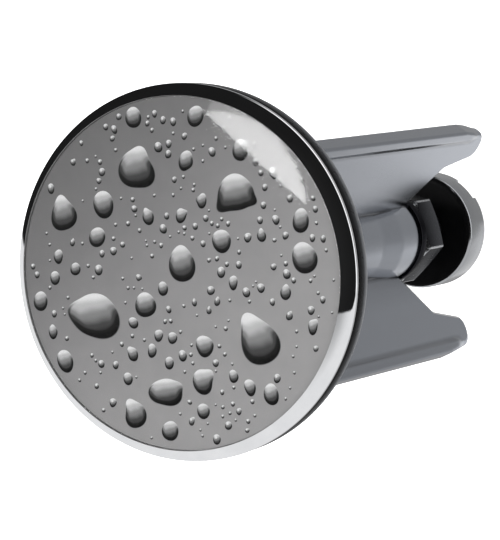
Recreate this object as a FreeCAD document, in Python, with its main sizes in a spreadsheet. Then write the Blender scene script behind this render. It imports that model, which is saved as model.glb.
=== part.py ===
# Drain stopper: a round cap on a three-winged guide, with a height screw that
# the drain's lever pushes.
#
# Frame: the axis is Z, the cap is on top (+Z).  The origin is on the axis, in
# the plane of the seal's underside, where the stopper sits on the drain.
# The first wing points along +X.  Lengths are in millimetres.
import FreeCAD, Part
import Sketcher
import math
import os

V = FreeCAD.Vector
doc = FreeCAD.newDocument("drain_stopper")

# ---------------------------------------------------------------- dimensions
# Levels are heights above the seat plane, so most of them are negative.
TABLE = [
    # cap
    ("cap_radius", 20.0, "outer radius of the cap"),
    ("cap_underside", 3.1, "level of the cap's underside, on the seal"),
    ("bevel_foot", 3.62, "level where the bevel meets the side wall"),
    ("cap_top", 4.88, "level of the narrow land around the print"),
    ("land_radius", 18.8, "outer radius of that land"),
    ("recess_radius", 18.72, "radius of the recess for the print"),
    ("recess_floor", 4.38, "level of the recess floor"),
    ("hollow_radius", 13.0, "radius of the hollow under the cap"),
    ("hollow_roof", 3.75, "level of the hollow's roof"),
    ("spigot_radius", 3.0, "radius of the cap's spigot"),
    ("spigot_end", -7.9, "level of the spigot's end"),
    ("pilot_radius", 1.5, "radius of the screw hole in the spigot"),
    ("pilot_end", 1.2, "level of the screw hole's end"),
    ("edge_round", 0.6, "rounding between bevel and side wall"),
    # print and dome
    ("print_radius", 18.66, "radius of the printed disc and the dome"),
    ("print_thick", 0.2, "thickness of the printed disc"),
    ("dome_edge", 4.8, "level of the dome at its edge"),
    ("dome_top", 5.5, "level of the dome's top"),
    # seal
    ("seal_radius", 19.92, "outer radius of the seal"),
    ("seal_bore", 12.2, "inner radius of the seal"),
    ("seal_round", 1.0, "rounding of the seal's lip"),
    ("seal_step", 0.4, "how far the clamped part of the seal is set back"),
    ("lip_inner", 17.0, "inner radius of the lip that rests on the drain"),
    # guide
    ("hub_radius", 12.0, "radius of the hub that centres the seal"),
    ("head_radius", 16.8, "radius of the head plate"),
    ("head_thick", 1.8, "how far the head plate reaches below the seat plane"),
    ("stem_radius", 4.8, "radius of the stem"),
    ("socket_radius", 3.05, "radius of the socket for the spigot"),
    ("web_top", -8.0, "level of the web inside the stem, upper face"),
    ("web_under", -10.0, "level of the web inside the stem, lower face"),
    ("web_hole", 1.6, "radius of the screw hole in the web"),
    ("stem_bore", 3.3, "radius of the stem's bore"),
    ("collar_radius", 5.2, "radius of the collar at the stem's end"),
    ("collar_top", -37.0, "level where the collar starts"),
    ("collar_slope", 4.5, "height of the collar's shoulder"),
    ("stem_end", -46.2, "level of the stem's end"),
    ("insert_top", -37.2, "level of the threaded bush's upper end"),
    ("insert_seat", 4.0, "radius of the bush's seat"),
    # wings
    ("wing_radius", 15.6, "radius over the wings"),
    ("wing_thick", 1.6, "thickness of a wing"),
    ("wing_root", 4.4, "radius where a wing starts, inside the stem's wall"),
    ("wing_start", -0.9, "level where a wing starts, inside the head plate"),
    ("wing_run", -50.4, "level where the outer edge starts to lean in"),
    ("wing_run_round", 9.0, "rounding there"),
    ("tip_level", -57.8, "level of the wing's tip"),
    ("tip_outer", 14.85, "radius of the tip's outer corner"),
    ("tip_outer_round", 2.3, "rounding of that corner"),
    ("tip_inner", 11.5, "radius of the tip's inner corner"),
    ("tip_inner_round", 1.4, "rounding of that corner"),
    ("notch_radius", 10.1, "radius of the notch behind the tip"),
    ("notch_level", -50.6, "level of that notch"),
    ("notch_round", 1.6, "rounding of the notch"),
    ("root_level", -44.72, "level where the wing's end line would reach wing_root"),
    ("wing_edge", 0.3, "rounding of the edges of a wing's end"),
    ("bead_depth", 1.1, "depth of the bead along a wing's outside"),
    ("bead_width", 2.1, "width of the bead"),
    ("bead_slant", 0.8, "how much earlier the bead ends at its inner side"),
    ("bead_edge", 0.35, "rounding of the bead's outer edges"),
    # cap screw
    ("cap_screw_radius", 1.45, "radius of the cap screw's thread"),
    ("cap_screw_end", 0.6, "level of the cap screw's end"),
    ("pan_radius", 2.6, "radius of the pan head"),
    ("pan_height", 1.9, "height of the pan head"),
    ("cross_width", 0.8, "width of the cross recess"),
    ("cross_span", 2.9, "span of the cross recess"),
    ("cross_depth", 1.1, "depth of the cross recess"),
    # bush
    ("insert_radius", 3.98, "outer radius of the bush"),
    ("insert_groove", 3.6, "radius of the groove around the bush"),
    ("thread_bore", 3.05, "radius of the threaded bores"),
    # washer and nut
    ("stack_gap", 0.05, "gap between stem, washer and nut"),
    ("washer_thick", 1.6, "thickness of the washer"),
    ("washer_radius", 5.5, "outer radius of the washer"),
    ("washer_bore", 3.2, "inner radius of the washer"),
    ("nut_flats", 10.0, "width across the nut's flats"),
    ("nut_height", 5.0, "height of the nut"),
    ("nut_turned", 22.0, "direction of one flat, in degrees from +X"),
    ("nut_crown", 4.75, "radius of the round land on the nut's faces"),
    # height screw
    ("stud_radius", 3.0, "radius over the stud's thread"),
    ("stud_top", -33.0, "level of the stud's upper end"),
    ("stud_chamfer", 0.5, "chamfer at the stud's ends"),
    ("foot_top", -57.4, "level of the foot's upper face"),
    ("foot_end", -62.4, "level of the foot's lower face"),
    ("foot_radius", 6.9, "radius of the foot"),
    ("foot_edge", 0.7, "rounding of the foot's edges"),
    ("foot_hole", -60.4, "level of the end of the foot's hole"),
    ("stud_end", -60.2, "level of the stud's lower end"),
    ("slot_width", 3.0, "width of the slot in the foot"),
    ("slot_turned", 171.5, "direction of the slot, in degrees from +X"),
    ("slot_depth", 1.3, "depth of the slot"),
]
sheet = doc.addObject("Spreadsheet::Sheet", "dims")
for row, (alias, number, note) in enumerate(TABLE, 1):
    sheet.set("A%d" % row, note)
    sheet.set("B%d" % row, str(number))
    sheet.setAlias("B%d" % row, alias)
doc.recompute()


class Dim:
    """A length of the sheet, or a sum of such lengths: its formula and value."""

    def __init__(self, text, value):
        self.text, self.value = text, value

    def __add__(self, other):
        other = as_dim(other)
        return Dim("(%s + %s)" % (self.text, other.text), self.value + other.value)

    def __sub__(self, other):
        other = as_dim(other)
        return Dim("(%s - %s)" % (self.text, other.text), self.value - other.value)

    def __mul__(self, factor):
        return Dim("(%s * %r)" % (self.text, float(factor)), self.value * factor)

    def __neg__(self):
        return self * -1.0


def as_dim(x):
    return x if isinstance(x, Dim) else Dim(repr(float(x)), float(x))


D = {alias: Dim("dims." + alias, number) for alias, number, note in TABLE}
ZERO = as_dim(0.0)


# ------------------------------------------------------------------- helpers
def new_body(name):
    body = doc.addObject("PartDesign::Body", name)
    body.Label = name
    return body


def origin(body, role):
    for feature in body.Origin.OriginFeatures:
        if feature.Role == role:
            return feature
    raise RuntimeError(role)


def new_sketch(body, name, role, level=None):
    sketch = body.newObject("Sketcher::SketchObject", name)
    sketch.AttachmentSupport = [(origin(body, role), "")]
    sketch.MapMode = "FlatFace"
    if level is not None:
        sketch.AttachmentOffset = FreeCAD.Placement(
            V(0, 0, level.value), FreeCAD.Rotation()
        )
        sketch.setExpression("AttachmentOffset.Base.z", level.text)
    return sketch


def pin(sketch, geo, pos, point):
    """Ties a point to its coordinates in the sheet."""
    x, y = point
    if x.value == 0.0:
        sketch.addConstraint(Sketcher.Constraint("PointOnObject", geo, pos, -2))
    else:
        k = sketch.addConstraint(
            Sketcher.Constraint("DistanceX", -1, 1, geo, pos, x.value)
        )
        sketch.setExpression("Constraints[%d]" % k, x.text)
    if y.value == 0.0:
        sketch.addConstraint(Sketcher.Constraint("PointOnObject", geo, pos, -1))
    else:
        k = sketch.addConstraint(
            Sketcher.Constraint("DistanceY", -1, 1, geo, pos, y.value)
        )
        sketch.setExpression("Constraints[%d]" % k, y.text)


def outline(sketch, points, rounds=None):
    """A closed outline of straight runs; rounds gives some corners an arc."""
    points = [(as_dim(x), as_dim(y)) for x, y in points]
    rounds = rounds or {}
    n = len(points)
    at = [V(x.value, y.value, 0) for x, y in points]
    arcs = {}
    for i, radius in rounds.items():
        to_last = (at[i - 1] - at[i]).normalize()
        to_next = (at[(i + 1) % n] - at[i]).normalize()
        half = to_last.getAngle(to_next) / 2
        reach = radius.value / math.tan(half)
        centre = at[i] + (to_last + to_next).normalize() * (
            radius.value / math.sin(half)
        )
        arcs[i] = (centre, at[i] + to_last * reach, at[i] + to_next * reach)
    runs = []
    for i in range(n):
        j = (i + 1) % n
        a = arcs[i][2] if i in arcs else at[i]
        b = arcs[j][1] if j in arcs else at[j]
        runs.append(sketch.addGeometry(Part.LineSegment(a, b), False))
    for i in range(n):
        before, after = runs[i - 1], runs[i]
        if i not in arcs:
            sketch.addConstraint(
                Sketcher.Constraint("Coincident", before, 2, after, 1)
            )
            pin(sketch, after, 1, points[i])
            continue
        centre, a, b = arcs[i]
        radius = rounds[i]
        left = (at[i] - at[i - 1]).cross(at[(i + 1) % n] - at[i]).z > 0
        first, last = (a, b) if left else (b, a)
        a0 = math.atan2(first.y - centre.y, first.x - centre.x)
        a1 = math.atan2(last.y - centre.y, last.x - centre.x)
        if a1 < a0:
            a1 += 2 * math.pi
        circle = Part.Circle(centre, V(0, 0, 1), radius.value)
        arc = sketch.addGeometry(Part.ArcOfCircle(circle, a0, a1), False)
        p, q = (1, 2) if left else (2, 1)
        sketch.addConstraint(Sketcher.Constraint("Tangent", before, 2, arc, p))
        sketch.addConstraint(Sketcher.Constraint("Tangent", arc, q, after, 1))
        k = sketch.addConstraint(Sketcher.Constraint("Radius", arc, radius.value))
        sketch.setExpression("Constraints[%d]" % k, radius.text)
        corner = sketch.addGeometry(Part.Point(at[i]), True)
        sketch.addConstraint(Sketcher.Constraint("PointOnObject", corner, 1, before))
        sketch.addConstraint(Sketcher.Constraint("PointOnObject", corner, 1, after))
        pin(sketch, corner, 1, points[i])


def circle(sketch, radius):
    geo = sketch.addGeometry(Part.Circle(V(0, 0, 0), V(0, 0, 1), radius.value), False)
    sketch.addConstraint(Sketcher.Constraint("Coincident", geo, 3, -1, 1))
    k = sketch.addConstraint(Sketcher.Constraint("Radius", geo, radius.value))
    sketch.setExpression("Constraints[%d]" % k, radius.text)


def turned(body, name, points, rounds=None):
    """A solid of revolution from its half section (radius, level)."""
    sketch = new_sketch(body, name + "_section", "XZ_Plane")
    outline(sketch, points, rounds)
    feature = body.newObject("PartDesign::Revolution", name)
    feature.Profile = sketch
    feature.ReferenceAxis = (sketch, ["V_Axis"])
    feature.Angle = 360.0
    doc.recompute()
    return feature


def groove(body, name, points):
    sketch = new_sketch(body, name + "_section", "XZ_Plane")
    outline(sketch, points)
    feature = body.newObject("PartDesign::Groove", name)
    feature.Profile = sketch
    feature.ReferenceAxis = (sketch, ["V_Axis"])
    feature.Angle = 360.0
    doc.recompute()
    return feature


def padded(body, name, sketch, length, middle=False, down=False):
    feature = body.newObject("PartDesign::Pad", name)
    feature.Profile = sketch
    feature.Length = length.value
    feature.setExpression("Length", length.text)
    if middle:
        feature.SideType = "Symmetric"
    feature.Reversed = down
    doc.recompute()
    return feature


def pocketed(body, name, sketch, depth, reverse=False):
    before = body.Shape.Volume
    feature = body.newObject("PartDesign::Pocket", name)
    feature.Profile = sketch
    feature.Length = depth.value
    feature.setExpression("Length", depth.text)
    feature.Reversed = reverse
    doc.recompute()
    if not body.Shape.Volume < before - 1e-3:
        raise RuntimeError("nothing was cut by " + name)
    return feature


def rounded(body, name, feature, wanted, radius):
    """Rounds the edges that wanted picks."""
    names = [
        "Edge%d" % (i + 1)
        for i, edge in enumerate(feature.Shape.Edges)
        if wanted(edge)
    ]
    if not names:
        raise RuntimeError("no edge for " + name)
    fillet = body.newObject("PartDesign::Fillet", name)
    fillet.Base = (feature, names)
    fillet.Radius = radius.value
    fillet.setExpression("Radius", radius.text)
    doc.recompute()
    return fillet


def ends(edge):
    a, b = edge.Vertexes[0].Point, edge.Vertexes[-1].Point
    return a, b


def off_axis(point):
    return math.hypot(point.x, point.y)


# ----------------------------------------------------------------- cap_shell
cap = new_body("cap_shell")
turned(
    cap,
    "cap_turning",
    [
        (ZERO, D["recess_floor"]),
        (ZERO, D["pilot_end"]),
        (D["pilot_radius"], D["pilot_end"]),
        (D["pilot_radius"], D["spigot_end"]),
        (D["spigot_radius"], D["spigot_end"]),
        (D["spigot_radius"], D["hollow_roof"]),
        (D["hollow_radius"], D["hollow_roof"]),
        (D["hollow_radius"], D["cap_underside"]),
        (D["cap_radius"], D["cap_underside"]),
        (D["cap_radius"], D["bevel_foot"]),
        (D["land_radius"], D["cap_top"]),
        (D["recess_radius"], D["cap_top"]),
        (D["recess_radius"], D["recess_floor"]),
    ],
    {9: D["edge_round"]},
)

# ---------------------------------------------------------------- decor_disc
decor = new_body("decor_disc")
decor_sketch = new_sketch(decor, "decor_round", "XY_Plane", D["recess_floor"])
circle(decor_sketch, D["print_radius"])
padded(decor, "decor_pad", decor_sketch, D["print_thick"])

# ---------------------------------------------------------------- clear_dome
# A lens of resin: flat below, a shallow arc above, with its centre on the axis.
dome = new_body("clear_dome")
dome_sketch = new_sketch(dome, "dome_section", "XZ_Plane")
dome_foot = D["recess_floor"] + D["print_thick"]
rise = D["dome_top"].value - D["dome_edge"].value
reach = D["print_radius"].value
sphere = (reach * reach + rise * rise) / (2 * rise)
low = V(0, dome_foot.value, 0)
rim_low = V(reach, dome_foot.value, 0)
rim_high = V(reach, D["dome_edge"].value, 0)
high = V(0, D["dome_top"].value, 0)
g_floor = dome_sketch.addGeometry(Part.LineSegment(low, rim_low), False)
g_rim = dome_sketch.addGeometry(Part.LineSegment(rim_low, rim_high), False)
centre = V(0, D["dome_top"].value - sphere, 0)
start = math.atan2(rim_high.y - centre.y, rim_high.x)
g_arc = dome_sketch.addGeometry(
    Part.ArcOfCircle(Part.Circle(centre, V(0, 0, 1), sphere), start, math.pi / 2),
    False,
)
g_axis = dome_sketch.addGeometry(Part.LineSegment(high, low), False)
for a, b in ((g_floor, g_rim), (g_rim, g_arc), (g_arc, g_axis), (g_axis, g_floor)):
    dome_sketch.addConstraint(Sketcher.Constraint("Coincident", a, 2, b, 1))
dome_sketch.addConstraint(Sketcher.Constraint("PointOnObject", g_arc, 3, -2))
pin(dome_sketch, g_floor, 1, (ZERO, dome_foot))
pin(dome_sketch, g_rim, 1, (D["print_radius"], dome_foot))
pin(dome_sketch, g_rim, 2, (D["print_radius"], D["dome_edge"]))
pin(dome_sketch, g_axis, 1, (ZERO, D["dome_top"]))
dome_turning = dome.newObject("PartDesign::Revolution", "dome_turning")
dome_turning.Profile = dome_sketch
dome_turning.ReferenceAxis = (dome_sketch, ["V_Axis"])
dome_turning.Angle = 360.0
doc.recompute()

# ----------------------------------------------------------------- seal_ring
seal = new_body("seal_ring")
turned(
    seal,
    "seal_turning",
    [
        (D["seal_bore"], D["seal_step"]),
        (D["lip_inner"], D["seal_step"]),
        (D["lip_inner"], ZERO),
        (D["seal_radius"], ZERO),
        (D["seal_radius"], D["cap_underside"]),
        (D["seal_bore"], D["cap_underside"]),
    ],
    {3: D["seal_round"], 4: D["seal_round"]},
)

# ---------------------------------------------------------------- guide_body
guide = new_body("guide_body")
guide_core = turned(
    guide,
    "guide_turning",
    [
        (D["socket_radius"], D["hollow_roof"]),
        (D["socket_radius"], D["web_top"]),
        (D["web_hole"], D["web_top"]),
        (D["web_hole"], D["web_under"]),
        (D["stem_bore"], D["web_under"]),
        (D["stem_bore"], D["insert_top"]),
        (D["insert_seat"], D["insert_top"]),
        (D["insert_seat"], D["stem_end"]),
        (D["collar_radius"], D["stem_end"]),
        (D["collar_radius"], D["collar_top"] - D["collar_slope"]),
        (D["stem_radius"], D["collar_top"]),
        (D["stem_radius"], -D["head_thick"]),
        (D["head_radius"], -D["head_thick"]),
        (D["head_radius"], D["seal_step"]),
        (D["hub_radius"], D["seal_step"]),
        (D["hub_radius"], D["hollow_roof"]),
    ],
)
wing_sketch = new_sketch(guide, "wing_outline", "XZ_Plane")
outline(
    wing_sketch,
    [
        (D["wing_root"], D["wing_start"]),
        (D["wing_root"], D["root_level"]),
        (D["notch_radius"], D["notch_level"]),
        (D["tip_inner"], D["tip_level"]),
        (D["tip_outer"], D["tip_level"]),
        (D["wing_radius"], D["wing_run"]),
        (D["wing_radius"], D["wing_start"]),
    ],
    {
        2: D["notch_round"],
        3: D["tip_inner_round"],
        4: D["tip_outer_round"],
        5: D["wing_run_round"],
    },
)
wing = padded(guide, "wing_plate", wing_sketch, D["wing_thick"], middle=True)


def wing_edge(edge):
    """The edges along the wing's outside and end, on both faces of the plate."""
    middle = edge.valueAt((edge.FirstParameter + edge.LastParameter) / 2)
    points = list(ends(edge)) + [middle]
    half = D["wing_thick"].value / 2
    return (
        max(p.z for p in points) < D["notch_level"].value + 0.5
        and all(abs(abs(p.y) - half) < 0.01 for p in points)
    )


rounded(guide, "wing_rounding", wing, wing_edge, D["wing_edge"])
# the bead follows the outer edge to halfway between its bend and the tip
bead_stop = (
    D["wing_radius"] * 0.52 + D["tip_outer"] * 0.48,
    D["wing_run"] * 0.52 + D["tip_level"] * 0.48,
)
bead_sketch = new_sketch(guide, "bead_outline", "XZ_Plane")
outline(
    bead_sketch,
    [
        (D["wing_radius"] - D["bead_depth"], D["wing_start"]),
        (D["wing_radius"] - D["bead_depth"], D["wing_run"]),
        (bead_stop[0] - D["bead_depth"], bead_stop[1] + D["bead_slant"]),
        bead_stop,
        (D["wing_radius"], D["wing_run"]),
        (D["wing_radius"], D["wing_start"]),
    ],
    {4: D["wing_run_round"]},
)
bead = padded(guide, "wing_bead", bead_sketch, D["bead_width"], middle=True)


def bead_edge(edge):
    """The long outer edges of the bead."""
    a, b = ends(edge)
    half = D["bead_width"].value / 2
    return (
        abs(a.z - b.z) > 20
        and all(
            abs(p.x - D["wing_radius"].value) < 0.01 and abs(abs(p.y) - half) < 0.01
            for p in (a, b)
        )
    )


rounded(guide, "bead_rounding", bead, bead_edge, D["bead_edge"])
wings = guide.newObject("PartDesign::PolarPattern", "three_wings")
wings.TransformMode = "Whole shape"
wings.Axis = (origin(guide, "Z_Axis"), [""])
wings.Angle = 360.0
wings.Occurrences = 3
guide.Tip = wings
doc.recompute()

# ----------------------------------------------------------------- cap_screw
cap_screw = new_body("cap_screw")
pan_end = D["web_under"] - D["pan_height"]
turned(
    cap_screw,
    "cap_screw_turning",
    [
        (ZERO, D["cap_screw_end"]),
        (ZERO, pan_end),
        (D["pan_radius"] - 0.7, pan_end),
        (D["pan_radius"], pan_end + 0.6),
        (D["pan_radius"], D["web_under"]),
        (D["cap_screw_radius"], D["web_under"]),
        (D["cap_screw_radius"], D["cap_screw_end"] - 0.8),
        (D["cap_screw_radius"] - 0.9, D["cap_screw_end"]),
    ],
)
cross_sketch = new_sketch(cap_screw, "cross_outline", "XY_Plane", pan_end)
w, g = D["cross_width"] * 0.5, D["cross_span"] * 0.5
outline(
    cross_sketch,
    [(g, -w), (g, w), (w, w), (w, g), (-w, g), (-w, w),
     (-g, w), (-g, -w), (-w, -w), (-w, -g), (w, -g), (w, -w)],
)
pocketed(cap_screw, "cross_recess", cross_sketch, D["cross_depth"], reverse=True)

# ------------------------------------------------------------- thread_insert
insert = new_body("thread_insert")
middle = (D["stem_end"] + D["insert_top"]) * 0.5
turned(
    insert,
    "insert_turning",
    [
        (D["thread_bore"], D["insert_top"]),
        (D["thread_bore"], D["stem_end"]),
        (D["insert_radius"], D["stem_end"]),
        (D["insert_radius"], middle - 0.6),
        (D["insert_groove"], middle - 0.6),
        (D["insert_groove"], middle + 0.6),
        (D["insert_radius"], middle + 0.6),
        (D["insert_radius"], D["insert_top"]),
    ],
)

# --------------------------------------------------------------- lock_washer
washer = new_body("lock_washer")
washer_top = D["stem_end"] - D["stack_gap"]
washer_low = washer_top - D["washer_thick"]
turned(
    washer,
    "washer_turning",
    [
        (D["washer_bore"], washer_top),
        (D["washer_bore"], washer_low),
        (D["washer_radius"], washer_low),
        (D["washer_radius"], washer_top),
    ],
    {2: as_dim(0.2), 3: as_dim(0.2)},
)

# ------------------------------------------------------------------ lock_nut
nut = new_body("lock_nut")
nut_top = washer_low - D["stack_gap"]
nut_low = nut_top - D["nut_height"]
hex_sketch = new_sketch(nut, "hexagon", "XY_Plane", nut_top)
hex_sketch.AttachmentOffset = FreeCAD.Placement(
    V(0, 0, nut_top.value),
    FreeCAD.Rotation(V(0, 0, 1), D["nut_turned"].value),
)
hex_sketch.setExpression("AttachmentOffset.Rotation.Angle", D["nut_turned"].text)
half_flat = D["nut_flats"] * 0.5
half_side = D["nut_flats"] * (0.5 * math.tan(math.radians(30)))
corner = D["nut_flats"] * (0.5 / math.cos(math.radians(30)))
outline(
    hex_sketch,
    [
        (half_flat, -half_side),
        (half_flat, half_side),
        (ZERO, corner),
        (-half_flat, half_side),
        (-half_flat, -half_side),
        (ZERO, -corner),
    ],
)
circle(hex_sketch, D["thread_bore"])
padded(nut, "nut_pad", hex_sketch, D["nut_height"], down=True)
slope = math.tan(math.radians(30))
over = D["nut_flats"] * 0.65
drop = (over - D["nut_crown"]) * slope
nut_volume = nut.Shape.Volume
groove(
    nut,
    "nut_crown_top",
    [(D["nut_crown"], nut_top), (over, nut_top - drop), (over, nut_top)],
)
groove(
    nut,
    "nut_crown_low",
    [(D["nut_crown"], nut_low), (over, nut_low), (over, nut_low + drop)],
)
if not nut.Shape.Volume < nut_volume - 1.0:
    raise RuntimeError("the nut's corners were not cut")

# ---------------------------------------------------------------- screw_stud
stud = new_body("screw_stud")
c = D["stud_chamfer"]
turned(
    stud,
    "stud_turning",
    [
        (ZERO, D["stud_top"]),
        (ZERO, D["stud_end"]),
        (D["stud_radius"] - c, D["stud_end"]),
        (D["stud_radius"], D["stud_end"] + c),
        (D["stud_radius"], D["stud_top"] - c),
        (D["stud_radius"] - c, D["stud_top"]),
    ],
)

# ---------------------------------------------------------------- screw_foot
foot = new_body("screw_foot")
turned(
    foot,
    "foot_turning",
    [
        (ZERO, D["foot_hole"]),
        (ZERO, D["foot_end"]),
        (D["foot_radius"], D["foot_end"]),
        (D["foot_radius"], D["foot_top"]),
        (D["thread_bore"], D["foot_top"]),
        (D["thread_bore"], D["foot_hole"]),
    ],
    {2: D["foot_edge"], 3: D["foot_edge"]},
)
slot_sketch = new_sketch(foot, "slot_outline", "XY_Plane", D["foot_end"])
slot_sketch.AttachmentOffset = FreeCAD.Placement(
    V(0, 0, D["foot_end"].value),
    FreeCAD.Rotation(V(0, 0, 1), D["slot_turned"].value),
)
slot_sketch.setExpression("AttachmentOffset.Rotation.Angle", D["slot_turned"].text)
run, half_slot = D["foot_radius"] + 1.0, D["slot_width"] * 0.5
outline(
    slot_sketch,
    [(-run, -half_slot), (run, -half_slot), (run, half_slot), (-run, half_slot)],
)
pocketed(foot, "driver_slot", slot_sketch, D["slot_depth"], reverse=True)

# ------------------------------------------------------------ check and write
doc.recompute()
bodies = [
    cap, decor, dome, seal, guide, cap_screw, insert, washer, nut, stud, foot,
]
for obj in doc.Objects:
    if "Invalid" in obj.State or "Error" in obj.State:
        raise RuntimeError("%s failed: %s" % (obj.Name, obj.State))
for body in bodies:
    shape = body.Shape
    if shape.isNull() or not shape.isValid() or len(shape.Solids) != 1:
        raise RuntimeError("%s is not one valid solid" % body.Label)
os.makedirs("parts", exist_ok=True)
for body in bodies:
    body.Shape.exportStep("parts/%s.step" % body.Label)
    box = body.Shape.BoundBox
    print(
        "%-14s %9.2f mm3  z %.2f to %.2f  r %.2f"
        % (body.Label, body.Shape.Volume, box.ZMin, box.ZMax, box.XMax)
    )
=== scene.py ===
import math
import random

import bmesh
import bpy
from mathutils import Matrix, Vector
from mathutils.geometry import delaunay_2d_cdt


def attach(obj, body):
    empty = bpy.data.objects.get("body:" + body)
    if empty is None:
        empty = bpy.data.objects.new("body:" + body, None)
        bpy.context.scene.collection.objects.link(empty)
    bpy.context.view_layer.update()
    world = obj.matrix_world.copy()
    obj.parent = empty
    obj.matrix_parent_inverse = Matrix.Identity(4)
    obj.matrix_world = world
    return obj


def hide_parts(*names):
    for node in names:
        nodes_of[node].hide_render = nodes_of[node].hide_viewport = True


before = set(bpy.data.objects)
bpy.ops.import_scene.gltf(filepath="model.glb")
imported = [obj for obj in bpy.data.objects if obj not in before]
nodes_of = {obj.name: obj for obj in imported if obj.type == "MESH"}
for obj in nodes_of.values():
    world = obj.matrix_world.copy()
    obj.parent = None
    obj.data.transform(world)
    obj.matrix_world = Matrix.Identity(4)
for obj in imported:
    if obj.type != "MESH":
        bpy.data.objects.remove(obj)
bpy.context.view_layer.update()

MM = 0.001
scene = bpy.context.scene


# ------------------------------------------------------------------ mesh tools
def new_object(name, bm, smooth=32.0):
    """An object from a bmesh in millimetres, with soft shading between faces
    that meet at less than the angle."""
    bmesh.ops.scale(bm, vec=(MM, MM, MM), verts=bm.verts)
    mesh = bpy.data.meshes.new(name)
    bm.to_mesh(mesh)
    bm.free()
    for face in mesh.polygons:
        face.use_smooth = True
    mesh.set_sharp_from_angle(angle=math.radians(smooth))
    obj = bpy.data.objects.new(name, mesh)
    scene.collection.objects.link(obj)
    return obj


def soften(points, radii, steps=6):
    """An open or closed run of (r, z) points with arcs at the listed corners."""
    out = []
    n = len(points)
    for i, p in enumerate(points):
        radius = radii.get(i, 0.0)
        if radius <= 0:
            out.append(p)
            continue
        here = Vector(p)
        back = (Vector(points[i - 1]) - here).normalized()
        ahead = (Vector(points[(i + 1) % n]) - here).normalized()
        half = back.angle(ahead) / 2
        reach = radius / math.tan(half)
        centre = here + (back + ahead).normalized() * (radius / math.sin(half))
        first, last = here + back * reach, here + ahead * reach
        a0 = math.atan2(first.y - centre.y, first.x - centre.x)
        a1 = math.atan2(last.y - centre.y, last.x - centre.x)
        while a1 - a0 > math.pi:
            a1 -= 2 * math.pi
        while a1 - a0 < -math.pi:
            a1 += 2 * math.pi
        for k in range(steps + 1):
            a = a0 + (a1 - a0) * k / steps
            out.append((centre.x + radius * math.cos(a), centre.y + radius * math.sin(a)))
    return out


def lathe(name, profile, turns=240, smooth=32.0, closed=True):
    """A turned solid. A closed profile is a ring; an open one starts and ends
    on the axis."""
    bm = bmesh.new()
    rings = []
    for r, z in profile:
        if r < 1e-6:
            rings.append([bm.verts.new((0, 0, z))])
        else:
            rings.append(
                [
                    bm.verts.new(
                        (
                            r * math.cos(2 * math.pi * k / turns),
                            r * math.sin(2 * math.pi * k / turns),
                            z,
                        )
                    )
                    for k in range(turns)
                ]
            )
    pairs = list(zip(rings, rings[1:]))
    if closed:
        pairs.append((rings[-1], rings[0]))
    for a, b in pairs:
        for k in range(turns):
            m = (k + 1) % turns
            if len(a) == 1 and len(b) == 1:
                continue
            if len(a) == 1:
                bm.faces.new((a[0], b[k], b[m]))
            elif len(b) == 1:
                bm.faces.new((a[k], b[0], a[m]))
            else:
                bm.faces.new((a[k], b[k], b[m], a[m]))
    bmesh.ops.recalc_face_normals(bm, faces=bm.faces)
    return new_object(name, bm, smooth)


def stand_for(obj, node, body, material):
    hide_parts(node)
    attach(obj, body)
    obj.data.materials.append(material)


# -------------------------------------------------------------- material tools
def srgb(v):
    v /= 255.0
    return v / 12.92 if v <= 0.04045 else ((v + 0.055) / 1.055) ** 2.4


def grey(v, tint=(1.0, 1.0, 1.0)):
    g = srgb(v)
    return (g * tint[0], g * tint[1], g * tint[2], 1.0)


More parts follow.
